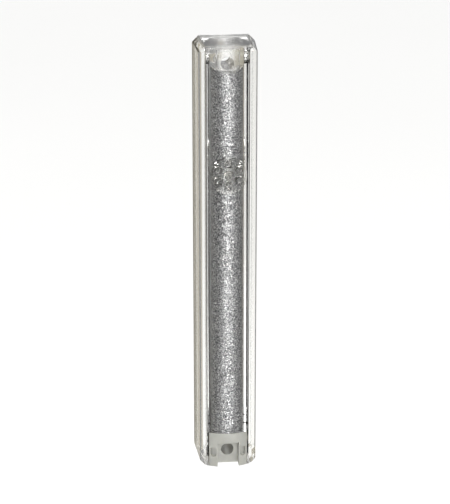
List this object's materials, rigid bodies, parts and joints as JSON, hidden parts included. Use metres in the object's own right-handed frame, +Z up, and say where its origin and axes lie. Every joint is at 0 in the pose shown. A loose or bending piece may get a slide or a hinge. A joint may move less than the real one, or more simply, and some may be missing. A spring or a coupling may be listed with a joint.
{
  "type": "mezuzah case",
  "caption": "Slim clear upright case with chamfered corners, a glitter-lined scroll tube, a raised rosette and a pull-out milky bottom stopper with screw notch.",
  "frame": {"origin": "centre of the flat wall face at the back of the case", "axes": "+Z runs up the doorpost to the top of the case, +Y points from the case into the wall, the front looks along -Y, +X is to the right seen from the front"},
  "size_m": [0.0208, 0.0189, 0.15],
  "materials": {
    "clear_front": "polished",
    "clear_rear": "polished",
    "glitter_sheet": "silver glitter",
    "parchment": "matte",
    "milky_plastic": "satin, translucent",
    "clear_emblem": "polished"
  },
  "bodies": {
    "case": {"front_shell": "clear_front", "rear_cover": "clear_rear", "glitter_liner": "glitter_sheet", "front_emblem": "clear_emblem"},
    "stopper": {"stopper": "milky_plastic"},
    "scroll": {"parchment_scroll": "parchment"}
  },
  "joints": [
    {"name": "stopper_pull", "type": "slide", "parent": "case", "child": "stopper", "axis": [0, 0, -1], "range_m": [0, 0.14]},
    {"name": "scroll_slide", "type": "slide", "parent": "case", "child": "scroll", "axis": [0, 0, -1], "range_m": [0, 0.14]}
  ],
  "couplings": [
    {"joint": "scroll_slide", "follows": "stopper_pull", "ratio": 1}
  ]
}
